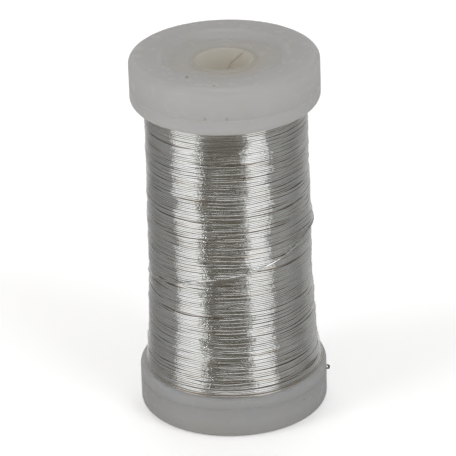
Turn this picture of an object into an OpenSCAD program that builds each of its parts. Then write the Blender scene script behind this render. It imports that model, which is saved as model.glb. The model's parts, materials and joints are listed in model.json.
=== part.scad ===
// Small bobbin of craft wire: a through tube with a hollow flange on each end,
// wound full with one length of thin bright wire. The origin is the centre of the
// base, and +Z runs along the bore.

/* [Bobbin] */
// Diameter of both flanges
flange_d = 32; // [26:1:48]
// Height from the lower outer face to the upper outer face
spool_h = 64; // [48:1:90]
// Thickness of each flange, from the outer face to the winding
flange_t = 8.5; // [7:0.5:11]
// Depth of the end cap, from the outer face to the seam with the flange plate
cap_t = 5.5; // [4.5:0.1:6]
// Thickness of the plastic walls of the flanges
wall = 1.6; // [1.2:0.1:2]
// Radius of the rounded edge of the outer face
edge_r = 1.3; // [0.6:0.1:2]
// Radius of the shoulder that faces the winding
shoulder_r = 1.6; // [0.8:0.1:2]
// Bevel on both sides of the seam between cap and plate
seam_bevel = 0.08; // [0.05:0.01:0.25]

/* [Outer face] */
// Diameter of the shallow recess at its floor
recess_d = 18.6; // [16:0.2:20]
// Depth of the recess below the face
recess_depth = 1.3; // [0.8:0.1:2]
// Width of the S-shaped slope round the recess
recess_slope = 2; // [1.5:0.1:2.6]

/* [Core tube] */
// Diameter of the bore
bore_d = 9.2; // [6:0.2:10]
// Outside diameter of the tube
tube_d = 11.6; // [10.6:0.2:13]
// Distance of the tube's ends below the outer faces
tube_inset = 1; // [0.5:0.1:1.2]
// Radius of the rounded edges of the tube's ends
tube_edge_r = 0.3; // [0.1:0.05:0.5]

/* [Wire] */
// Diameter of the wire
wire_d = 0.3; // [0.25:0.05:0.6]
// Radius of the winding just under the upper flange
wind_r_top = 13.7; // [11:0.1:14.5]
// Radius of the winding at mid height
wind_r_mid = 13.85; // [11:0.1:14.5]
// Radius of the winding low down, where it bulges
wind_r_low = 14.4; // [12:0.1:14.8]
// Radius of the last turns that spread over the lower flange
wind_r_end = 14.8; // [12:0.1:14.9]
// Rise of the last turn for each degree that it goes round the front
last_turn_rise = 0.05; // [0.03:0.005:0.06]
// Direction in which the outer end of the wire leaves the lower flange
tail_angle = -3; // [-180:1:180]
// Direction of the hole that takes the inner end of the wire
start_angle = 138; // [-180:1:180]
// Turn of the upper flange against the lower one
upper_turn = 160; // [0:5:355]
// How far the outer end stands out of the flange
tail_out = 0.55; // [0.2:0.05:0.6]

/* [Hidden] */

$fn = 96;
eps = 0.01;

milky = [0.80, 0.79, 0.77];
tube_white = [0.86, 0.85, 0.83];
silver = [0.72, 0.72, 0.71];
silver_dark = [0.55, 0.53, 0.50];

flange_r = flange_d / 2;
tube_r = tube_d / 2;
bore_r = bore_d / 2;
wire_r = wire_d / 2;
plate_t = flange_t - cap_t;
recess_r = recess_d / 2;
arc_over = 0.01;

// Flange plate: a web with a hub round the tube and a spigot inside the cap's wall
spigot_t = 1.2;
spigot_r = flange_r - wall;
spigot_l = 2;
web_t = 1.8;
hub_t = 1.4;
hub_gap = 0.1;
cap_floor = recess_depth + wall;

// Winding, between the two plates
wind_z0 = flange_t;
wind_z1 = spool_h - flange_t;
wind_l = wind_z1 - wind_z0;
turn_pitch = wire_d * 1.04;
turns = floor((wind_l - wire_d) / turn_pitch) + 1;
first_turn_z = wind_z0 + (wind_l - (turns - 1) * turn_pitch) / 2;
inner_layers_r = wind_r_top - 4 * wire_d;
ridge_angles = [-75, -25, 25, 75];
low_z = wind_z0 + 0.1 * wind_l;
bulge_z = wind_z0 + 0.35 * wind_l;

// Last turn: from the tail's hole up round the back, across the front from the
// left to the right, and on to the back again, where it dips into the layer
last_turn_a0 = tail_angle - 360;
last_turn_a1 = 110;
front_left_a = -175;
front_left_z = 25.3;
last_turn_foot_z = wind_z0 + wire_r;
last_turn_steps = 78;
last_turn_sides = 8;
lift = 0.03;

// Wire ends
start_hole_r = 0.25;
start_z = wind_z1 - 2 * wire_d;
tail_hole_r = 0.25;
tail_at = wind_r_end + wire_r + lift;
tail_z = cap_t - 0.4;
notch_w = 0.7;
notch_depth = 0.8;

// Radius of the winding's outside at height z
function wind_r(z) =
    z < low_z ? wind_r_end + (wind_r_low - wind_r_end) * (z - wind_z0) / (low_z - wind_z0) :
    z < bulge_z ? wind_r_low + (wind_r_mid - wind_r_low) * (z - low_z) / (bulge_z - low_z) :
    wind_r_mid + (wind_r_top - wind_r_mid) * (z - bulge_z) / (wind_z1 - bulge_z);

// Outer half of the section of the turn at height z, from its lower side up
function ridge(z) =
    [for (t = ridge_angles) [wind_r(z) - wire_r + wire_r * cos(t), z + wire_r * sin(t)]];

// Height of the last turn's centre line at angle a. Round the back of the lower
// half it climbs faster, from its foot at the flange
function last_turn_z(a) =
    let (back = front_left_a - last_turn_a0)
    let (dip = front_left_z - last_turn_rise * back - last_turn_foot_z)
    front_left_z + last_turn_rise * (a - front_left_a)
    - (a < front_left_a ? dip * pow((front_left_a - a) / back, 2) : 0);

// Centre line of the last turn at angle a, lying on the winding
function last_turn_at(a) =
    let (z = last_turn_z(a))
    let (r = wind_r(z) + wire_r + lift)
    [r * cos(a), r * sin(a), z];

// Ring of points round the last turn's centre line at angle a
function last_turn_ring(a) =
    let (across = [cos(a), sin(a), 0])
    let (along = last_turn_at(a + 0.1) - last_turn_at(a - 0.1))
    let (up = cross(across, along) / norm(cross(across, along)))
    [for (k = [0:last_turn_sides - 1])
        let (t = 360 * k / last_turn_sides)
        last_turn_at(a) + wire_r * (cos(t) * across + sin(t) * up)];

// Turns a piece of the lower end into its twin on the upper end
module to_upper_end() {
    rotate([0, 0, upper_turn]) translate([0, 0, spool_h]) mirror([0, 0, 1]) children();
}

// Half section of a disc with its rim rounded at the low side
module low_rounded_section(r, h, fillet) {
    translate([0, fillet]) square([r, h - fillet]);
    square([r - fillet, h]);
    translate([r - fillet, fillet]) circle(fillet);
}

// Half section of a disc with its rim rounded at the high side
module high_rounded_section(r, h, fillet) {
    translate([0, h]) mirror([0, 1]) low_rounded_section(r, h, fillet);
}

// Upright bar with all four corners rounded
module rounded_bar_section(w, h, r) {
    translate([0, r]) square([w, h - 2 * r]);
    translate([r, 0]) square([w - 2 * r, h]);
    for (x = [r, w - r], y = [r, h - r])
        translate([x, y]) circle(r);
}

// Half section of the recess in an outer face, below the face at y = 0. Its wall is
// an S of two equal arcs, one round the lip and one up from the floor. They meet the
// face and the floor at a slight angle, because their circles reach past by arc_over
module recess_section() {
    half = recess_slope / 2;
    rise = recess_depth / 2 + arc_over;
    arc_r = (half * half + rise * rise) / (2 * rise);
    difference() {
        union() {
            translate([0, -1]) square([recess_r + recess_slope, 1]);
            square([recess_r, recess_depth]);
            polygon([
                [recess_r, 0],
                [recess_r + recess_slope, 0],
                [recess_r + half, recess_depth / 2],
                [recess_r, recess_depth],
            ]);
            intersection() {
                translate([recess_r, recess_depth + arc_over - arc_r]) circle(arc_r);
                translate([recess_r, recess_depth / 2]) square([half, recess_depth / 2]);
            }
        }
        intersection() {
            translate([recess_r + recess_slope, arc_r - arc_over]) circle(arc_r);
            translate([recess_r + half, 0]) square([half, recess_depth / 2]);
        }
    }
}

// Half section of the ring cut away at the seam, at height y
module seam_section(y) {
    translate([flange_r, y]) circle(seam_bevel * sqrt(2), $fn = 4);
}

// Cup that closes the lower flange from below, with the recess in its face
module end_cap() {
    difference() {
        rotate_extrude() difference() {
            low_rounded_section(flange_r, cap_t, edge_r);
            recess_section();
            translate([0, cap_floor]) square([spigot_r, cap_t]);
            translate([0, -1]) square([tube_r, cap_t + 2]);
            seam_section(cap_t);
        }
        rotate([0, 0, tail_angle])
            translate([spigot_r - 1, -notch_w / 2, cap_t - notch_depth])
                cube([wall + 2, notch_w, notch_depth + 1]);
    }
}

// Plate of the lower flange, which carries the winding on its upper face
module flange_plate() {
    difference() {
        rotate_extrude() difference() {
            union() {
                translate([0, cap_t]) high_rounded_section(flange_r, plate_t, shoulder_r);
                translate([0, cap_t - spigot_l]) square([spigot_r, spigot_l + eps]);
            }
            translate([tube_r + hub_t, 0])
                square([spigot_r - spigot_t - tube_r - hub_t, flange_t - web_t]);
            square([tube_r, flange_t + 1]);
            seam_section(cap_t);
        }
        rotate([0, 0, tail_angle]) translate([tail_at, 0, 0])
            cylinder(r = tail_hole_r, h = flange_t + 1, $fn = 32);
    }
    rotate_extrude() translate([tube_r, cap_floor + hub_gap])
        square([hub_t, cap_t - cap_floor]);
}

module core_tube() {
    color(tube_white) difference() {
        rotate_extrude() translate([bore_r, tube_inset])
            rounded_bar_section(tube_r - bore_r, spool_h - 2 * tube_inset, tube_edge_r);
        rotate([0, 0, start_angle]) translate([0, 0, start_z]) rotate([0, 90, 0])
            cylinder(r = start_hole_r, h = tube_r + 1, $fn = 32);
    }
}

module upper_flange_plate() {
    color(milky) to_upper_end() flange_plate();
}

module upper_end_cap() {
    color(milky) to_upper_end() end_cap();
}

module lower_flange_plate() {
    color(milky) flange_plate();
}

module lower_end_cap() {
    color(milky) end_cap();
}

// Packed layers between the tube and the outermost layers
module wire_inner_layers() {
    color(silver_dark) translate([0, 0, wind_z0]) difference() {
        cylinder(r = inner_layers_r, h = wind_l);
        translate([0, 0, -1]) cylinder(r = tube_r, h = wind_l + 2);
    }
}

// Outermost layers, with a ridge for every turn that shows
module wire_outer_layer() {
    heights = [for (i = [0:turns - 1]) first_turn_z + i * turn_pitch];
    color(silver) rotate_extrude() polygon(concat(
        [[inner_layers_r, wind_z1], [inner_layers_r, wind_z0]],
        [[wind_r(wind_z0) - wire_r, wind_z0]],
        [for (z = heights) each ridge(z)],
        [[wind_r(wind_z1) - wire_r, wind_z1]]
    ));
}

// Last turn, which runs across the others to the hole in the lower flange
module wire_last_turn() {
    n = last_turn_sides;
    step = (last_turn_a1 - last_turn_a0) / last_turn_steps;
    points = [for (i = [0:last_turn_steps]) each last_turn_ring(last_turn_a0 + i * step)];
    walls = [for (i = [0:last_turn_steps - 1], k = [0:n - 1])
        [i * n + k, i * n + (k + 1) % n, (i + 1) * n + (k + 1) % n, (i + 1) * n + k]];
    ends = [
        [for (k = [n - 1:-1:0]) k],
        [for (k = [0:n - 1]) last_turn_steps * n + k],
    ];
    color(silver) polyhedron(points, concat(walls, ends));
}

// Inner end of the wire, through the hole in the tube
module wire_start_end() {
    color(silver) rotate([0, 0, start_angle]) translate([bore_r + 0.02, 0, start_z])
        rotate([0, 90, 0]) cylinder(r = wire_r, h = tube_r - bore_r - 0.04, $fn = 24);
}

// Outer end of the wire, down through the plate and out of the flange's side
module wire_tail_end() {
    color(silver) rotate([0, 0, tail_angle]) translate([tail_at, 0, tail_z]) {
        cylinder(r = wire_r, h = wind_z0 - tail_z, $fn = 24);
        sphere(wire_r, $fn = 24);
        rotate([0, 90, 0])
            cylinder(r = wire_r, h = flange_r + tail_out - tail_at, $fn = 24);
    }
}

core_tube();
upper_flange_plate();
upper_end_cap();
lower_flange_plate();
lower_end_cap();
wire_inner_layers();
wire_outer_layer();
wire_last_turn();
wire_start_end();
wire_tail_end();
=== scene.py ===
"""Looks for a small bobbin of craft wire: milky plastic flanges, and a winding of thin bright wire.

The bobbin's own sizes come from the frame. Lengths on it are in millimetres until they go into a
mesh or a material, and those of the camera, the floor and the lights are in metres. Directions round
the bobbin are bearings in degrees: 0 is the camera's side and +90 is the right.
"""
import json
import math

import bpy
import numpy as np
from mathutils import Matrix, Vector


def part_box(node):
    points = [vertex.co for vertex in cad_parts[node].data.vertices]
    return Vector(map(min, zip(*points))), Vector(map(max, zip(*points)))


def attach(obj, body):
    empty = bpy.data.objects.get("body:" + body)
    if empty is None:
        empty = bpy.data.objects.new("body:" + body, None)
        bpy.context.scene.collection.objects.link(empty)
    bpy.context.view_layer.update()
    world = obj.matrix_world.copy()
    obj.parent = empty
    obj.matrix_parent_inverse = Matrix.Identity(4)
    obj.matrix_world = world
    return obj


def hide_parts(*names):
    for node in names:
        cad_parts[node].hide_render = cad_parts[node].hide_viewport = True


MM = 0.001
SEED = 11


# ---------------------------------------------------------------- the frame

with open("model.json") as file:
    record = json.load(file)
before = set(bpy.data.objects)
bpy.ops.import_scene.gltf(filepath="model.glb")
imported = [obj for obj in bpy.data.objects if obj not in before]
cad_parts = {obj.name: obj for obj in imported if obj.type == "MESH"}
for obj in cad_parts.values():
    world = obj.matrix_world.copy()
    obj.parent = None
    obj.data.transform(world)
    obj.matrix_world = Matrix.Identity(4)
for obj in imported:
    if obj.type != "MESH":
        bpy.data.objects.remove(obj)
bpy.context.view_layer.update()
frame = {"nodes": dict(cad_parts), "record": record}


def node_box(node):
    """A CAD node's lowest and highest corner, in mm."""
    low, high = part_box(node)
    return np.array(low) / MM, np.array(high) / MM


def node_points(node):
    """Every vertex of a CAD node, in mm."""
    mesh = frame["nodes"][node].data
    points = np.zeros(len(mesh.vertices) * 3)
    mesh.vertices.foreach_get("co", points)
    return points.reshape(-1, 3) / MM


cap_high = node_box("lower_end_cap")[1]
plate_high = node_box("lower_flange_plate")[1]
inner_low, inner_high = node_box("wire_inner_layers")
start_low, start_high = node_box("wire_start_end")
last_low, last_high = node_box("wire_last_turn")
tail_low, tail_high = node_box("wire_tail_end")

SPOOL_H = node_box("upper_end_cap")[1][2]
FLANGE_R = cap_high[0]
TUBE_R = node_box("core_tube")[1][0]
BORE_R = frame["record"]["mounts"][0]["dims"]["r_mm"]
WIND_Z0, WIND_Z1 = inner_low[2], inner_high[2]
# Points less far apart than this are at the same height
LEVEL = 0.001
plate_points = node_points("lower_flange_plate")
plate_face = plate_points[plate_points[:, 2] > plate_high[2] - LEVEL]
# The flange's shoulder is a quarter circle between this radius and the flange's
SHOULDER_START = np.hypot(plate_face[:, 0], plate_face[:, 1]).max()
SHOULDER_R = FLANGE_R - SHOULDER_START
SHOULDER_Z = plate_high[2] - SHOULDER_R
WIRE_D = start_high[2] - start_low[2]
WIRE_R = WIRE_D / 2
start_middle = (start_low + start_high) / 2
START_BEARING = 90 + math.degrees(math.atan2(start_middle[1], start_middle[0]))
START_Z = start_middle[2]
TAIL_BEARING = 90 + math.degrees(math.atan2((tail_low[1] + tail_high[1]) / 2, tail_high[0]))
TAIL_Z = tail_low[2] + WIRE_R
TAIL_TIP_R = tail_high[0]
last_points = node_points("wire_last_turn")
last_foot = last_points[last_points[:, 2] < last_low[2] + WIRE_R]
TAIL_HOLE_R = np.hypot(last_foot[:, 0], last_foot[:, 1]).mean()


def around(bearing, radius, height):
    """The point at a bearing in degrees, a radius and a height."""
    angle = np.radians(np.asarray(bearing) - 90)
    return np.stack(np.broadcast_arrays(radius * np.cos(angle), radius * np.sin(angle), height), -1)


# ---------------------------------------------------------------- camera

CAMERA_RISE = math.radians(25.0)
CAMERA_ROLL = math.radians(-1.83)
CAMERA_DISTANCE = 0.640
# Focal length of the lens, in mm
LENS = 298.0
# How far the bobbin's middle stands right of and above the middle of the view
AIM_RIGHT, AIM_UP = 0.23 * MM, 0.05 * MM


def add_camera():
    middle = Vector((0, 0, SPOOL_H / 2 * MM))
    away = Vector((0, -math.cos(CAMERA_RISE), math.sin(CAMERA_RISE)))
    turn = away.to_track_quat("Z", "Y").to_matrix().to_4x4() @ Matrix.Rotation(CAMERA_ROLL, 4, "Z")
    right, up = turn.col[0].to_3d(), turn.col[1].to_3d()
    data = bpy.data.cameras.new("camera")
    data.lens = LENS
    data.clip_start = 0.01
    data.clip_end = 20
    camera = bpy.data.objects.new("camera", data)
    place = middle + away * CAMERA_DISTANCE - right * AIM_RIGHT - up * AIM_UP
    camera.matrix_world = Matrix.Translation(place) @ turn
    bpy.context.scene.collection.objects.link(camera)
    bpy.context.scene.camera = camera


# ---------------------------------------------------------------- node helpers

def new_material(name):
    material = bpy.data.materials.new(name)
    material.use_nodes = True
    tree = material.node_tree
    shader = tree.nodes["Principled BSDF"]
    return material, tree, shader


def object_space(tree, stretch=(1, 1, 1)):
    place = tree.nodes.new("ShaderNodeTexCoord")
    mapping = tree.nodes.new("ShaderNodeMapping")
    mapping.inputs["Scale"].default_value = stretch
    tree.links.new(place.outputs["Object"], mapping.inputs["Vector"])
    return mapping.outputs["Vector"]


def noise(tree, scale, detail=2.0, roughness=0.5, stretch=(1, 1, 1)):
    """Noise in the object's own space. scale is in features per metre."""
    node = tree.nodes.new("ShaderNodeTexNoise")
    node.inputs["Scale"].default_value = scale
    node.inputs["Detail"].default_value = detail
    node.inputs["Roughness"].default_value = roughness
    tree.links.new(object_space(tree, stretch), node.inputs["Vector"])
    return node.outputs["Fac"]


def ramp(tree, value, stops):
    """Colour ramp through (position, colour) stops."""
    node = tree.nodes.new("ShaderNodeValToRGB")
    elements = node.color_ramp.elements
    while len(elements) < len(stops):
        elements.new(0.5)
    for element, (position, colour) in zip(elements, stops):
        element.position = position
        element.color = (*colour, 1)
    tree.links.new(value, node.inputs["Fac"])
    return node.outputs["Color"]


def mix(tree, factor, first, second, blend="MIX"):
    """Colour between first and second. Each input is a socket or a value."""
    node = tree.nodes.new("ShaderNodeMix")
    node.data_type = "RGBA"
    node.blend_type = blend
    for socket, value in ((node.inputs[0], factor), (node.inputs[6], first), (node.inputs[7], second)):
        if isinstance(value, bpy.types.NodeSocket):
            tree.links.new(value, socket)
        elif isinstance(value, tuple):
            socket.default_value = (*value, 1)
        else:
            socket.default_value = value
    return node.outputs[2]


def maths(tree, operation, first, second=0.0):
    """Result of one sum. Each input is a socket or a number."""
    node = tree.nodes.new("ShaderNodeMath")
    node.operation = operation
    for socket, value in zip(node.inputs, (first, second)):
        if isinstance(value, bpy.types.NodeSocket):
            tree.links.new(value, socket)
        else:
            socket.default_value = value
    return node.outputs["Value"]


def bump(tree, shader, relief, distance, strength):
    node = tree.nodes.new("ShaderNodeBump")
    node.inputs["Strength"].default_value = strength
    node.inputs["Distance"].default_value = distance
    tree.links.new(relief, node.inputs["Height"])
    tree.links.new(node.outputs["Normal"], shader.inputs["Normal"])


def rescale(tree, value, low, high, from_low=0.0, from_high=1.0):
    """Moves a value from one range to another, and stops at the ends of it."""
    node = tree.nodes.new("ShaderNodeMapRange")
    node.inputs["From Min"].default_value = from_low
    node.inputs["From Max"].default_value = from_high
    node.inputs["To Min"].default_value = low
    node.inputs["To Max"].default_value = high
    tree.links.new(value, node.inputs["Value"])
    return node.outputs["Result"]


# ---------------------------------------------------------------- materials

# Bearing, radius, height, size and strength of the dark specks
SPECKS = [
    (-32.1, 11.6, SPOOL_H, 0.34, 1.0),
    (-7.2, 14.0, SPOOL_H, 0.24, 0.7),
    (-12.3, FLANGE_R, 58.9, 0.34, 0.3),
    (0.5, FLANGE_R, 58.9, 0.38, 0.3),
    (47.3, FLANGE_R, 4.4, 0.3, 0.3),
]
SPECK_TONE = (0.42, 0.38, 0.34)
# How far each seam is from its flange's outer face, and how far the painted light that lifts the shade
# in its groove reaches either way
SEAM_H = cap_high[2]
SEAM_GLOW_REACH = 0.22
# Painted warm shade on the plastic near the axis, where the tube and the dark inside lie behind it
WARM_SHADE_NEAR_AXIS = (1.0, 0.987, 0.96)
# How dark the painted contact shade on the foot is, and how high it reaches
FOOT_SHADE_TONE, FOOT_SHADE_HEIGHT = 0.82, 3.0
GLOW_COLOUR = (1.0, 0.95, 0.88)
# Colours of the clear and of the clouded parts of the plastic
MILKY = (0.93, 0.933, 0.938), (0.92, 0.915, 0.905)
# A darker copy of the same plastic, as painted shade, for the lower cap
SHADED = (0.86, 0.865, 0.87), (0.85, 0.845, 0.83)
TUBE_TONES = (0.86, 0.85, 0.815), (0.84, 0.83, 0.78)
# More glow near the axis, which is painted light, and the painted warm shade there: how much glow, the
# radius that has all of both, and the radius where they end
NEAR_TUBE = (0.03, 8.0, 10.5)
IN_BORE = (0.14, BORE_R + 0.1, BORE_R + 0.4)
NOWHERE = (0.0, 0.0, 1.0)


def specks(tree):
    """Strength of the few dark specks that are caught in the plastic, and 0 outside them."""
    place = tree.nodes.new("ShaderNodeTexCoord")
    total = 0.0
    for bearing, radius, height, size, strength in SPECKS:
        away = tree.nodes.new("ShaderNodeVectorMath")
        away.operation = "DISTANCE"
        tree.links.new(place.outputs["Object"], away.inputs[0])
        away.inputs[1].default_value = (around(bearing, radius, height) * MM).tolist()
        inside = rescale(tree, away.outputs["Value"], strength, 0, size * 0.5 * MM, size * MM)
        total = maths(tree, "MAXIMUM", inside, total)
    return total


def from_axis(tree):
    """Distance from the bobbin's axis, in metres."""
    length = tree.nodes.new("ShaderNodeVectorMath")
    length.operation = "LENGTH"
    tree.links.new(object_space(tree, stretch=(1, 1, 0)), length.inputs[0])
    return length.outputs["Value"]


def above_table(tree):
    """Height above the table, in metres."""
    split = tree.nodes.new("ShaderNodeSeparateXYZ")
    tree.links.new(object_space(tree), split.inputs["Vector"])
    return split.outputs["Z"]


def painted_foot_shade(tree):
    """Grey that darkens the lowest edge, where it stands on the table, as painted contact shade, and
    white above.
    """
    return rescale(tree, above_table(tree), FOOT_SHADE_TONE, 1, 0.0, FOOT_SHADE_HEIGHT * MM)


def seam_glow_mask(tree):
    """Where painted light lifts the shade of the seams: 1 at the height of a seam between cap and plate,
    and 0 away from it.
    """
    below_top = maths(tree, "SUBTRACT", SPOOL_H * MM, above_table(tree))
    from_end = maths(tree, "MINIMUM", above_table(tree), below_top)
    away = maths(tree, "ABSOLUTE", maths(tree, "SUBTRACT", from_end, SEAM_H * MM))
    return rescale(tree, away, 1, 0, 0.0, SEAM_GLOW_REACH * MM)


def milky_plastic(name, clear, clouded, through, glow_level, more_at_seam=0.0, more_inside=NOWHERE):
    """Translucent moulded polyethylene with faint clouds and a few dark specks in it.

    through is the part of the light that passes through a wall. glow_level is painted light, a glow that
    makes up for light that goes round inside the plastic more often than is rendered. more_at_seam adds
    painted light for light that crosses the seam, which lifts the shade in the seam's groove, and
    more_inside adds painted light near the axis, for light that gathers there: how much, the radius that
    has all of it, and the radius where it ends. The same radii set where the plastic gets a painted warm
    shade, and the lowest edge gets a painted contact shade.
    """
    material, tree, shader = new_material(name)
    colour = ramp(tree, noise(tree, scale=90, detail=3.0), [(0.35, clouded), (0.65, clear)])
    inside_glow, all_inside, none_inside = more_inside
    inside = rescale(tree, from_axis(tree), 1, 0, all_inside * MM, none_inside * MM)
    # Painted warm shade near the axis
    colour = mix(tree, inside, colour, mix(tree, 1.0, colour, WARM_SHADE_NEAR_AXIS, "MULTIPLY"))
    # Painted contact shade on the lowest edge
    colour = mix(tree, 1.0, colour, painted_foot_shade(tree), "MULTIPLY")
    colour = mix(tree, specks(tree), colour, SPECK_TONE)
    tree.links.new(colour, shader.inputs["Base Color"])
    shader.inputs["Subsurface Weight"].default_value = 1.0
    shader.inputs["Subsurface Radius"].default_value = (1.0, 0.92, 0.80)
    shader.inputs["Subsurface Scale"].default_value = 3 * MM
    shader.inputs["IOR"].default_value = 1.5
    shader.inputs["Specular IOR Level"].default_value = 0.45
    shader.inputs["Emission Color"].default_value = (*GLOW_COLOUR, 1)
    # Painted light: a glow all over, and more along the seams to lift the shade in their grooves
    glow = rescale(tree, seam_glow_mask(tree), glow_level, glow_level + more_at_seam)
    # Painted light near the axis
    glow = maths(tree, "ADD", glow, rescale(tree, inside, 0.0, inside_glow))
    tree.links.new(glow, shader.inputs["Emission Strength"])
    material.cycles.emission_sampling = "NONE"
    gloss = rescale(tree, noise(tree, scale=600), 0.20, 0.32)
    tree.links.new(gloss, shader.inputs["Roughness"])
    bump(tree, shader, noise(tree, scale=260), distance=0.04 * MM, strength=0.35)
    passing = tree.nodes.new("ShaderNodeBsdfTranslucent")
    tree.links.new(colour, passing.inputs["Color"])
    both = tree.nodes.new("ShaderNodeMixShader")
    both.inputs["Fac"].default_value = through
    tree.links.new(shader.outputs["BSDF"], both.inputs[1])
    tree.links.new(passing.outputs["BSDF"], both.inputs[2])
    tree.links.new(both.outputs["Shader"], tree.nodes["Material Output"].inputs["Surface"])
    return material


def bright_wire(name, clean, stained, rough_low, rough_high):
    """Drawn wire with fine dents, uneven gloss and traces of brown stain that run along it."""
    material, tree, shader = new_material(name)
    stains = noise(tree, scale=130, detail=4.0, roughness=0.65, stretch=(1, 1, 12))
    tree.links.new(ramp(tree, stains, [(0.30, stained), (0.46, clean)]), shader.inputs["Base Color"])
    shader.inputs["Metallic"].default_value = 1.0
    gloss = rescale(tree, noise(tree, scale=700), rough_low, rough_high)
    tree.links.new(gloss, shader.inputs["Roughness"])
    bump(tree, shader, noise(tree, scale=1700), distance=0.06 * MM, strength=0.5)
    return material


# ---------------------------------------------------------------- mesh helpers

def add_mesh(name, points, faces, material):
    """A smooth-shaded mesh from points in mm."""
    mesh = bpy.data.meshes.new(name)
    mesh.from_pydata((np.asarray(points) * MM).tolist(), [], [tuple(f) for f in faces])
    mesh.validate()
    mesh.polygons.foreach_set("use_smooth", [True] * len(mesh.polygons))
    mesh.materials.append(material)
    piece = bpy.data.objects.new(name, mesh)
    bpy.context.scene.collection.objects.link(piece)
    return piece


def claim(piece, slot, *nodes):
    """Hangs a detailed piece from the root, and hides the CAD nodes that it stands for. slot is not
    used.
    """
    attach(piece, "root")
    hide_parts(*nodes)


def tube_mesh(path, radius, sides):
    """Points and faces of a closed tube round a path. radius is one number or one for each point."""
    path = np.asarray(path)
    radius = np.broadcast_to(radius, len(path))[:, None, None]
    along = np.gradient(path, axis=0)
    along /= np.linalg.norm(along, axis=1, keepdims=True)
    out = path * (1, 1, 0)
    out /= np.linalg.norm(out, axis=1, keepdims=True)
    steep = abs((along * out).sum(1)) > 0.7
    side = np.cross(along, out)
    side[steep] = np.cross(along[steep], (0, 0, 1))
    side /= np.linalg.norm(side, axis=1, keepdims=True)
    flips = np.sign((side[1:] * side[:-1]).sum(1))
    side[1:] *= np.cumprod(np.where(flips == 0, 1, flips))[:, None]
    out = np.cross(side, along)
    turn = np.arange(sides) * 2 * math.pi / sides
    rings = (
        path[:, None]
        + radius * np.cos(turn)[None, :, None] * out[:, None]
        + radius * np.sin(turn)[None, :, None] * side[:, None]
    )
    n = len(path)
    i, k = np.meshgrid(np.arange(n - 1), np.arange(sides), indexing="ij")
    k2 = (k + 1) % sides
    quads = np.stack([i * sides + k, (i + 1) * sides + k, (i + 1) * sides + k2, i * sides + k2], -1)
    faces = quads.reshape(-1, 4).tolist()
    faces.append(list(range(sides)))
    faces.append([(n - 1) * sides + k for k in range(sides - 1, -1, -1)])
    return rings.reshape(-1, 3), faces


def tube(name, path, radius, sides, material):
    return add_mesh(name, *tube_mesh(path, radius, sides), material)


def rounded_path(corners, radius, step):
    """Points along straight lines between corners, with each corner rounded off."""
    corners = [np.asarray(c, float) for c in corners]
    points = [corners[0]]
    for before, corner, after in zip(corners, corners[1:], corners[2:]):
        back = min(radius, np.linalg.norm(before - corner) * 0.49)
        on = min(radius, np.linalg.norm(after - corner) * 0.49)
        start = corner + (before - corner) / np.linalg.norm(before - corner) * back
        end = corner + (after - corner) / np.linalg.norm(after - corner) * on
        for t in np.linspace(0, 1, 7):
            points.append(start * (1 - t) ** 2 + corner * 2 * t * (1 - t) + end * t**2)
    points.append(corners[-1])
    points = np.array(points)
    lengths = np.concatenate([[0], np.cumsum(np.linalg.norm(np.diff(points, axis=0), axis=1))])
    places = np.linspace(0, lengths[-1], max(int(lengths[-1] / step), 2) + 1)
    return np.stack([np.interp(places, lengths, points[:, k]) for k in range(3)], -1)


# ---------------------------------------------------------------- the winding

COLUMNS = 180
# Each turn begins and ends at the back of the object
COLUMN_BEARING = 180 + np.arange(COLUMNS) * 360 / COLUMNS
# The lowest turns spread over the edge of the flange
FLARE = 0.2
FLARE_HEIGHT = 0.7
# A bulge at the right, over turns that have piled up
PILE_BEARING, PILE_Z, PILE_HEIGHT = 80, 35.0, 0.5
PILE_WIDTH, PILE_TALL = 16, 1.6
# Gaps where the turns have slid apart: bearing, half width, height, size
GAPS = [
    (-48, 20, 52.2, 0.22),
    (5, 12, 49.6, 0.25),
    (-25, 8, 39.2, 0.18),
    (-5, 17, 27.7, 0.24),
    (-49, 12, 26.3, 0.24),
    (-35, 16, 21.6, 0.22),
    (35, 26, 33.9, 0.22),
    (45, 16, 40.0, 0.20),
    (45, 26, 29.6, 0.22),
    (67, 10, 17.6, 0.24),
    (-5, 16, 9.8, 0.20),
    (62, 15, 9.1, 0.38),
]
# How far above and below it a gap pushes the turns apart
GAP_REACH = 0.9
# The part of the winding's height that is left between turns, and how unevenly it is shared out
TOP_SLACK = 0.04
TOP_UNEVEN = 0.9
# The long outermost wire is split into this many pieces
TOP_PARTS = 4
# A turn lies higher under a wider gap, up to this half width of the gap, in wire diameters
WIDEST_GROOVE = 0.97
# Size in mm, width in degrees, and likeness of neighbours of the bumps in the outermost layer
BUMPS = [(0.025, 9, 0.85), (0.022, 5, 0.2)]
# Bundles of 2 to 7 turns also have bumps that are alike: size in mm and width in degrees
FEWEST_IN_BUNDLE, MOST_IN_BUNDLE = 2, 7
BUNDLE_BUMP, BUNDLE_DEGREES = 0.033, 6
# The same for the waves of the turns up and down
HEIGHT_BUMP, HEIGHT_DEGREES = 0.020, 8
# One turn in 2 to 4 rides up on the ones beside it, for parts of its way
CLOSEST_PROUD, FURTHEST_PROUD = 2, 4
PROUD, PROUD_DEGREES = 0.095, 14
# The furthest slipped turn: bearing, and how far round the flange's shoulder it lies, in degrees
SLIPPED = [
    (-135, -30),
    (-100, 5),
    (-75, 24),
    (-50, 44),
    (-20, 56),
    (20, 56),
    (50, 48),
    (80, 38),
    (110, 12),
    (150, -30),
]
# Shares of the way from an anchor inside the winding to that turn, where the slipped turns lie
SLIP_ANCHOR = -25
SLIP_SHARES = (0.62, 0.745, 0.87, 1.0)
SLIP_WAVES = 1.2
# The first ones are bright, and the rest are darker and browner
SLIPPED_BRIGHT = 2
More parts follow.
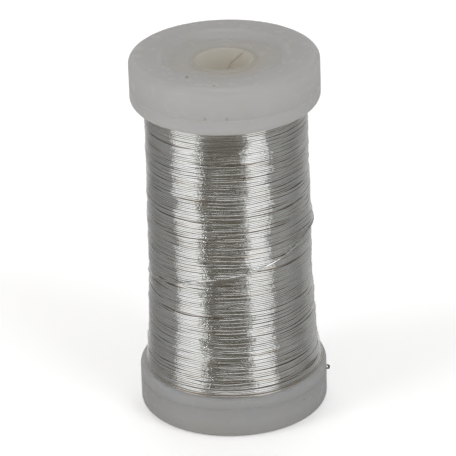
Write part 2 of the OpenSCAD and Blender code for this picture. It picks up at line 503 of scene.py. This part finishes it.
# Bearing and height of places along the last turn, after its foot at the flange
LAST_TURN = [
    (-210, 15.9),
    (-150, 21.2),
    (-85, 25.3),
    (-40, 27.0),
    (-20, 28.5),
    (15, 29.8),
    (30, 30.9),
    (45, 31.7),
    (60, 32.8),
    (120, 35.7),
    (200, last_high[2] - WIRE_R),
]
# How far up the side of the turns under it the last turn rests, as a part of the wire's diameter
LAST_TURN_REST = 0.9
# The last turn's end dips in among the others over this many degrees
DIP_DEGREES = 12
# The last turn is laid out from a little past the tail, and the bend down takes its first few degrees
FOOT_START, FOOT_DEGREES = 2, 4
# How deep the tail's bent tip begins inside the flange's side
TIP_DEPTH = 0.2
# Bearing and height of places along the inner end, after the hole in the tube
INNER_END = [(180, 58.0), (165, 60.5), (135, 62.7)]
# How far inside the tube's outer wall the inner end begins
INNER_END_DEPTH = 0.02


def bearing_gap(bearing, other):
    return (bearing - other + 180) % 360 - 180


def ripple(rng, rows, degrees, share=0.0):
    """Random waves along each turn, about one in size and some degrees wide.

    share is how much a turn follows the one before it.
    """
    width = degrees / 360 * COLUMNS
    place = np.arange(COLUMNS)
    away = np.minimum(place, COLUMNS - place)
    kernel = np.exp(-0.5 * (away / width) ** 2)
    kernel /= np.sqrt((kernel**2).sum())
    waves = np.fft.ifft(np.fft.fft(rng.normal(0, 1, (rows, COLUMNS))) * np.fft.fft(kernel)).real
    for row in range(1, rows):
        waves[row] = share * waves[row - 1] + math.sqrt(1 - share**2) * waves[row]
    return waves


def smoothed(values, width):
    """Running mean over an odd number of values."""
    return np.convolve(np.pad(values, width // 2, "edge"), np.full(width, 1 / width), "valid")


def winding_profile():
    """Heights and outer radii of the CAD winding, from the bottom up."""
    points = node_points("wire_outer_layer")
    radius = np.hypot(points[:, 0], points[:, 1])
    heights = np.arange(WIND_Z0, WIND_Z1, 0.5)
    return heights, np.array([radius[abs(points[:, 2] - z) < 2 * WIRE_D].max() for z in heights])


PROFILE = winding_profile()


def outside_radius(bearing, height):
    """Radius of the winding's outside, with the flare low down and the pile at the right."""
    radius = np.interp(height, *PROFILE)
    radius = radius + FLARE * np.exp(-(height - WIND_Z0) / FLARE_HEIGHT)
    aside = bearing_gap(bearing, PILE_BEARING) / PILE_WIDTH
    return radius + PILE_HEIGHT * np.exp(-(aside**2) - ((height - PILE_Z) / PILE_TALL) ** 2)


def layer_heights(rng, slack, unevenness):
    """Heights of a layer's turns, as (turns, COLUMNS).

    slack is the part of the height that is left between the turns, and unevenness is how unlike
    these spaces are.
    """
    room = WIND_Z1 - WIND_Z0 - WIRE_D
    turns = int(room * (1 - slack) / WIRE_D)
    short_waves = ripple(rng, turns + 1, 14)
    long_waves = ripple(rng, turns + 1, 30, 0.8)
    spaces = np.exp(unevenness * (0.8 * short_waves + 0.6 * long_waves))
    spaces *= (room - turns * WIRE_D) / spaces.sum(0)
    levels = np.concatenate([np.zeros((1, COLUMNS)), np.cumsum(spaces[:-1] + WIRE_D, axis=0)])
    progress = np.arange(COLUMNS) / COLUMNS
    heights = levels[:-1] * (1 - progress) + levels[1:] * progress
    return WIND_Z0 + WIRE_R + heights


def open_gaps(heights):
    """Pushes the turns apart, above and below each gap."""
    turn = np.arange(len(heights))[:, None] + np.arange(COLUMNS) / COLUMNS
    for bearing, half_width, centre, size in GAPS:
        aside = bearing_gap(COLUMN_BEARING, bearing)
        column = np.argmin(abs(aside))
        edge = np.sum(heights[:, column] < centre) - 0.5 + column / COLUMNS
        beside = np.exp(-((aside / half_width) ** 2))
        away = np.exp(-abs(heights - centre) / GAP_REACH)
        heights = heights + np.sign(turn - edge) * size * beside * away
    return heights


def path_of(heights, radii):
    """Points along whole turns that follow each other."""
    bearing = np.tile(COLUMN_BEARING, len(heights))
    return around(bearing, np.ravel(radii), np.ravel(heights))


def between(turns):
    """The places halfway between each turn and the next."""
    return (turns[1:] + turns[:-1]) / 2


def top_layer():
    """Heights and radii of the outermost turns, as (turns, COLUMNS)."""
    rng = np.random.default_rng(SEED)
    heights = open_gaps(layer_heights(rng, TOP_SLACK, TOP_UNEVEN))
    rows = len(heights)
    radii = outside_radius(COLUMN_BEARING, heights) - WIRE_R
    for size, degrees, share in BUMPS:
        radii += size * ripple(rng, rows, degrees, share)
    bundle_ends = np.cumsum(rng.integers(FEWEST_IN_BUNDLE, MOST_IN_BUNDLE + 1, rows))
    bundle = np.searchsorted(bundle_ends, np.arange(rows), "right")
    radii += BUNDLE_BUMP * ripple(rng, rows, BUNDLE_DEGREES)[bundle]
    heights += HEIGHT_BUMP * ripple(rng, rows, HEIGHT_DEGREES)
    lifted = np.zeros((rows, 1))
    proud = np.cumsum(rng.integers(CLOSEST_PROUD, FURTHEST_PROUD + 1, rows))
    lifted[proud[proud < rows]] = 1
    radii += PROUD * lifted * np.clip(0.6 + 0.6 * ripple(rng, rows, PROUD_DEGREES), 0, 1.3)
    return heights, radii


def add_winding(heights, radii):
    """Adds the outermost layer, and the layer that lies in the grooves under it."""
    parts = zip(np.array_split(heights, TOP_PARTS), np.array_split(radii, TOP_PARTS))
    for part, (turns, part_radii) in enumerate(parts):
        path = path_of(turns, part_radii)
        piece = tube(f"winding_top_layer_{part + 1}", path, WIRE_R, 8, BRIGHT_WIRE)
        claim(piece, "bright_wire", "wire_outer_layer")
    half_gap = np.minimum(np.diff(heights, axis=0) / 2, WIRE_D * WIDEST_GROOVE)
    under_radii = between(radii) - np.sqrt(WIRE_D**2 - half_gap**2)
    path = path_of(between(heights), under_radii)
    piece = tube("winding_under_layer", path[::2], WIRE_R, 6, DULL_WIRE)
    claim(piece, "inner_wire", "wire_outer_layer")


def add_slipped_turns():
    """Turns that have slipped over the shoulder of the lower flange in front, and lie on it."""
    rng = np.random.default_rng(SEED + 1)
    bearings = np.arange(SLIPPED[0][0], SLIPPED[-1][0] + 1, 1.0)
    furthest = smoothed(np.interp(bearings, *np.array(SLIPPED).T), 25)
    from_centre = SHOULDER_R + WIRE_R
    for number, share in enumerate(SLIP_SHARES):
        waves = np.interp(bearings % 360, np.arange(COLUMNS) * 360 / COLUMNS, ripple(rng, 1, 14)[0])
        angle = np.radians(SLIP_ANCHOR + (furthest - SLIP_ANCHOR) * share + SLIP_WAVES * waves)
        # Inside the winding, the turn lies on the flat face beside the shoulder
        level = SHOULDER_Z + from_centre * np.cos(np.maximum(angle, 0))
        path = around(bearings, SHOULDER_START + from_centre * np.sin(angle), level)
        material = BRIGHT_WIRE if number < SLIPPED_BRIGHT else DULL_WIRE
        piece = tube(f"slipped_turn_{number + 1}", path, WIRE_R, 8, material)
        claim(piece, "bright_wire", "wire_outer_layer")


def add_outer_end(heights, radii):
    """The last turn, which climbs across the others, and the wire's end that goes out at the flange."""
    foot = TAIL_BEARING - 360
    bearings = np.arange(foot + FOOT_START, LAST_TURN[-1][0], 1.0)
    climb = [(foot, last_low[2] + WIRE_R)] + LAST_TURN
    levels = smoothed(np.interp(bearings, *np.array(climb).T), 17)
    rest = []
    for bearing, level in zip(bearings, levels):
        column = int(round((bearing - 180) / 360 * COLUMNS)) % COLUMNS
        near = abs(heights[:, column] - level) < WIRE_D
        rest.append(radii[near, column].max() + WIRE_D * LAST_TURN_REST)
    rest = smoothed(rest, 9)
    rest -= np.clip((bearings - bearings[-1]) / DIP_DEGREES + 1, 0, 1) * WIRE_D
    over = around(bearings, rest, levels)[FOOT_DEGREES:]
    side_exit = around(TAIL_BEARING, FLANGE_R - TIP_DEPTH, TAIL_Z)
    down = [
        over[0],
        around(TAIL_BEARING, TAIL_HOLE_R, WIND_Z0 + 0.1),
        around(TAIL_BEARING, TAIL_HOLE_R, TAIL_Z),
        side_exit,
    ]
    # The tip stands out of the flange's side, and bends up and back
    tip = [
        side_exit,
        around(TAIL_BEARING, TAIL_TIP_R - 0.1, TAIL_Z),
        around(TAIL_BEARING + 1, TAIL_TIP_R - 0.1, TAIL_Z + 0.3),
        around(TAIL_BEARING + 2.2, TAIL_TIP_R - 0.4, TAIL_Z + 0.32),
    ]
    claim(tube("wire_over_others", over, WIRE_R, 8, BRIGHT_WIRE), "bright_wire", "wire_last_turn")
    tail = rounded_path(down, radius=0.3, step=0.1)
    claim(tube("wire_tail", tail, WIRE_R, 8, BRIGHT_WIRE), "bright_wire", "wire_tail_end")
    nub = rounded_path(tip, radius=0.12, step=0.05)
    claim(tube("wire_tail_tip", nub, WIRE_R, 8, TAIL_WIRE), "bright_wire", "wire_tail_end")


def add_inner_end():
    """The wire's inner end, which comes through the tube and lies against the wall of the bore."""
    stops = np.array([(START_BEARING, START_Z), *INNER_END])
    bearings = np.linspace(START_BEARING, INNER_END[-1][0], 24)
    levels = np.interp(-bearings, -stops[:, 0], stops[:, 1])
    begin = around(START_BEARING, TUBE_R - INNER_END_DEPTH, START_Z)
    corners = [begin, *around(bearings, BORE_R - WIRE_R, levels)]
    path = rounded_path(corners, radius=0.3, step=0.1)
    piece = tube("wire_inner_end", path, WIRE_R, 8, INNER_END_WIRE)
    claim(piece, "bright_wire", "wire_start_end")


# ---------------------------------------------------------------- floor and light

# Half the floor's width, in metres
STAGE_R = 3.0
FLOOR_TONE = (2.45, 2.47, 2.50)
FAR_FLOOR_TONE = (4.10, 4.15, 4.25)
# How far from the middle the floor's tone begins and ends to get lighter
FLOOR_FADE = (0.02, 0.5)
BACKDROP_R, BACKDROP_H = STAGE_R * 0.98, 2.0
BACKDROP_TONE = (1.0, 1.0, 1.0)
LIGHT_COLOUR = (0.985, 0.99, 1.02)
# How far from the axis the panels and the front fill stand, and how high the strip hangs, in metres
LIGHTS_AWAY, FILL_AWAY, STRIP_Z = 0.5, 0.6, 0.6
# Sines of the elevations between which the table fades into the room, and the room into the ceiling
TABLE_EDGE = (-0.08, 0.02)
CEILING_EDGE = (0.86, 0.90)
# Colour of the soft light overhead
CEILING = (0.34, 0.325, 0.31)
# How much warmth adds to green, as a part of what it adds to red and takes from blue
GREEN_WARMTH = 0.35
# Bearing, brightness and warmth of what stands round the bobbin, and of the table round it
ROOM = [
    (-180, 0.35, 0.0),
    (-162, 0.78, 0.0),
    (-145, 0.29, 0.01),
    (-125, 0.21, 0.01),
    (-95, 0.27, 0.01),
    (-60, 0.12, 0.10),
    (-38, 0.09, 0.18),
    (10, 0.08, 0.16),
    (40, 0.12, 0.08),
    (75, 0.34, 0.01),
    (95, 0.25, 0.01),
    (108, 0.21, 0.01),
    (122, 0.31, 0.01),
    (145, 0.38, 0.01),
    (162, 0.78, 0.0),
    (180, 0.35, 0.0),
]
TABLE = [
    (-180, 0.60, 0.0),
    (-162, 0.70, 0.0),
    (-145, 0.29, 0.01),
    (-125, 0.22, 0.01),
    (-95, 0.27, 0.01),
    (-84, 0.30, 0.01),
    (-78, 0.78, 0.0),
    (-41, 0.78, 0.0),
    (-38.5, 0.18, 0.10),
    (24, 0.18, 0.10),
    (30, 0.78, 0.0),
    (54, 0.78, 0.0),
    (60, 0.32, 0.02),
    (80, 0.33, 0.01),
    (108, 0.21, 0.01),
    (122, 0.31, 0.01),
    (145, 0.39, 0.01),
    (180, 0.60, 0.0),
]


def add_stage_mesh(name, points, faces, shader_type, colour):
    """Part of the stage, in metres, which only the camera sees.

    The bobbin is lit from below by the world's table, which is less bright than the white floor.
    """
    mesh = bpy.data.meshes.new(name)
    mesh.from_pydata(points, [], faces)
    piece = bpy.data.objects.new(name, mesh)
    bpy.context.scene.collection.objects.link(piece)
    material, tree, _ = new_material(name)
    plain = tree.nodes.new(shader_type)
    plain.inputs["Color"].default_value = (*colour, 1)
    tree.links.new(plain.outputs[0], tree.nodes["Material Output"].inputs["Surface"])
    mesh.materials.append(material)
    piece.visible_glossy = False
    piece.visible_diffuse = False
    piece.visible_transmission = False
    piece.visible_shadow = False
    return tree, plain


def add_floor():
    """White paper, whose tone makes up for the weaker light of the panels away from the middle."""
    size = STAGE_R
    corners = [(-size, -size, 0), (size, -size, 0), (size, size, 0), (-size, size, 0)]
    tree, paper = add_stage_mesh("floor", corners, [(0, 1, 2, 3)], "ShaderNodeBsdfDiffuse", FLOOR_TONE)
    away = tree.nodes.new("ShaderNodeVectorMath")
    away.operation = "LENGTH"
    tree.links.new(object_space(tree), away.inputs[0])
    far = rescale(tree, away.outputs["Value"], 0.0, 1.0, *FLOOR_FADE)
    tree.links.new(mix(tree, far, FLOOR_TONE, FAR_FLOOR_TONE), paper.inputs["Color"])


def add_backdrop():
    """A round white wall, far off, behind whatever is seen from near the floor."""
    sides = 64
    ring = around(np.arange(sides) * 360 / sides, BACKDROP_R, 0.0)
    points = np.concatenate([ring, ring + (0, 0, BACKDROP_H)])
    faces = [(k, (k + 1) % sides, sides + (k + 1) % sides, sides + k) for k in range(sides)]
    add_stage_mesh("backdrop", points.tolist(), faces, "ShaderNodeEmission", BACKDROP_TONE)


def add_light(name, place, behind, width, height, radiance):
    """Rectangular light at a place, with its back towards behind. Sizes are in metres."""
    data = bpy.data.lights.new(name, "AREA")
    data.shape = "RECTANGLE"
    data.size = width
    data.size_y = height
    data.energy = radiance * math.pi * width * height
    data.color = LIGHT_COLOUR
    light = bpy.data.objects.new(name, data)
    turn = Vector(behind).to_track_quat("Z", "Y").to_matrix().to_4x4()
    light.matrix_world = Matrix.Translation(place) @ turn
    bpy.context.scene.collection.objects.link(light)
    return light


def add_panel(name, distance, bearing, centre_z, width, height, radiance):
    """Upright light panel that faces the bobbin's axis. Sizes are in metres."""
    angle = math.radians(bearing)
    way = Vector((math.sin(angle), -math.cos(angle), 0))
    return add_light(name, way * distance + Vector((0, 0, centre_z)), way, width, height, radiance)


def not_mirrored(light):
    """Keeps a light that fills the shade on the plastic out of the wire's mirror images."""
    light.visible_glossy = False


def only_mirrored(light):
    """Lets the wire mirror a light that is too small or too weak to matter for the rest."""
    light.visible_diffuse = False
    light.visible_transmission = False
    light.data.cycles.max_bounces = 0


def around_ramp(tree, turn, stops):
    """Colour by bearing. stops are (bearing, brightness, warmth), from -180 to 180."""
    colours = []
    for bearing, level, warmth in stops:
        colour = (level * (1 + warmth), level * (1 + GREEN_WARMTH * warmth), level * (1 - warmth))
        colours.append(((bearing + 180) / 360, colour))
    return ramp(tree, turn, colours)


def add_world():
    """What the wire mirrors: a dim warm room in front, a studio behind, and a pale table below."""
    world = bpy.data.worlds.new("studio")
    world.use_nodes = True
    tree = world.node_tree
    place = tree.nodes.new("ShaderNodeTexCoord")
    split = tree.nodes.new("ShaderNodeSeparateXYZ")
    tree.links.new(place.outputs["Generated"], split.inputs["Vector"])
    front = maths(tree, "MULTIPLY", split.outputs["Y"], -1.0)
    bearing = maths(tree, "ARCTAN2", split.outputs["X"], front)
    turn = rescale(tree, bearing, 0.0, 1.0, -math.pi, math.pi)
    below = rescale(tree, split.outputs["Z"], 1.0, 0.0, *TABLE_EDGE)
    colour = mix(tree, below, around_ramp(tree, turn, ROOM), around_ramp(tree, turn, TABLE))
    above = rescale(tree, split.outputs["Z"], 0.0, 1.0, *CEILING_EDGE)
    colour = mix(tree, above, colour, CEILING)
    background = tree.nodes["Background"]
    tree.links.new(colour, background.inputs["Color"])
    background.inputs["Strength"].default_value = 1.0
    bpy.context.scene.world = world


# ---------------------------------------------------------------- build

add_camera()
# The caps and plates are one plastic in lit and shaded copies: the upper cap and plate glow more, as
# painted light, the lower plate less, and the lower cap has the darker SHADED colours and no glow, as
# painted shade
UPPER_CAP_WHITE = milky_plastic(
    "upper_cap_plastic", *MILKY, through=0.5, glow_level=0.030, more_at_seam=0.055, more_inside=NEAR_TUBE
)
LOWER_CAP_WHITE = milky_plastic(
    "lower_cap_plastic", *SHADED, through=0.5, glow_level=0.0, more_at_seam=0.045, more_inside=NEAR_TUBE
)
UPPER_PLATE_WHITE = milky_plastic(
    "upper_plate_plastic", *MILKY, through=0.4, glow_level=0.034, more_at_seam=0.055
)
LOWER_PLATE_WHITE = milky_plastic(
    "lower_plate_plastic", *MILKY, through=0.4, glow_level=0.014, more_at_seam=0.045
)
TUBE_WHITE = milky_plastic(
    "tube_plastic", *TUBE_TONES, through=0.6, glow_level=0.06, more_inside=IN_BORE
)
BRIGHT_WIRE = bright_wire("bright_wire", (0.86, 0.864, 0.845), (0.70, 0.66, 0.59), 0.07, 0.14)
INNER_END_WIRE = bright_wire("inner_wire_end", (0.88, 0.83, 0.77), (0.76, 0.69, 0.62), 0.4, 0.5)
TAIL_WIRE = bright_wire("wire_end", (0.16, 0.13, 0.10), (0.12, 0.09, 0.07), 0.45, 0.60)
# Darker, browner and less glossy wire, for the layer under the outer turns, the inner layers and the
# last slipped turns
DULL_WIRE = bright_wire("darker_brown_wire", (0.66, 0.63, 0.59), (0.48, 0.41, 0.34), 0.18, 0.30)

LOOKS = {
    "upper_end_cap": UPPER_CAP_WHITE,
    "lower_end_cap": LOWER_CAP_WHITE,
    "upper_flange_plate": UPPER_PLATE_WHITE,
    "lower_flange_plate": LOWER_PLATE_WHITE,
    "core_tube": TUBE_WHITE,
    "wire_inner_layers": DULL_WIRE,
}
for node, material in LOOKS.items():
    frame["nodes"][node].data.materials.clear()
    frame["nodes"][node].data.materials.append(material)

turn_heights, turn_radii = top_layer()
add_winding(turn_heights, turn_radii)
add_slipped_turns()
add_outer_end(turn_heights, turn_radii)
add_inner_end()
add_floor()
add_backdrop()
add_panel("left_panel_low", LIGHTS_AWAY, -60.0, centre_z=0.13, width=0.333, height=0.26, radiance=0.93)
add_panel("left_panel_high", LIGHTS_AWAY, -62.9, centre_z=0.58, width=0.282, height=0.64, radiance=0.94)
add_panel("right_panel", LIGHTS_AWAY, 41.9, centre_z=0.45, width=0.272, height=0.90, radiance=0.99)
fill = add_panel("front_fill", FILL_AWAY, -8, centre_z=0.10, width=0.5, height=0.4, radiance=0.62)
not_mirrored(fill)
lamp = add_panel("lamp", LIGHTS_AWAY, -39, centre_z=0.37, width=0.04, height=0.03, radiance=12)
only_mirrored(lamp)
strip = add_light("strip_overhead", (0, 0, STRIP_Z), (0, 0, 1), width=0.30, height=0.55, radiance=2.35)
only_mirrored(strip)
add_world()
bpy.context.scene.view_settings.view_transform = "Standard"
